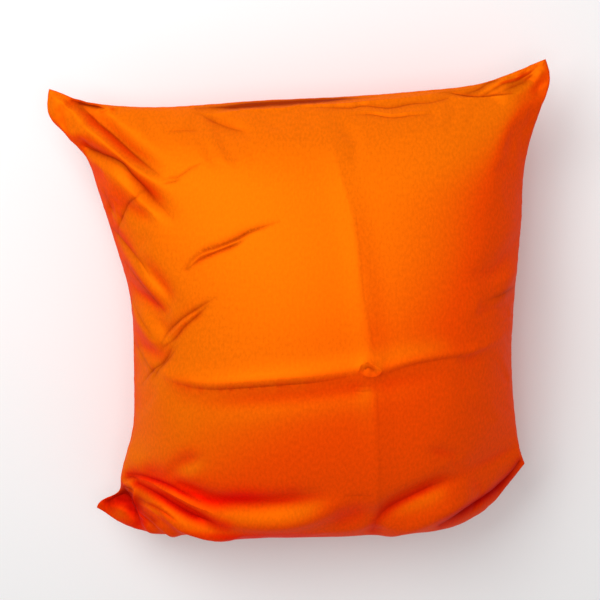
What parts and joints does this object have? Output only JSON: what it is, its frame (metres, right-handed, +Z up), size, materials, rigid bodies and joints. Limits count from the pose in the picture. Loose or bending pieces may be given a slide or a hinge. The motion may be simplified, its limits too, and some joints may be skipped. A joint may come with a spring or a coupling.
{
  "type": "square cushion",
  "caption": "Square satin scatter cushion with a soft filling, drawn-in sides and slack pointed corners, lying on its back.",
  "frame": {"origin": "on the floor under the middle of the cushion's bounding box", "axes": "+X to the cushion's right and +Y to its top edge as its face is looked at, +Z up out of the face"},
  "size_m": [0.427, 0.4258, 0.168],
  "materials": {
    "satin": "woven satin, soft sheen"
  },
  "bodies": {
    "root": {"cushion": "satin"}
  },
  "joints": []
}
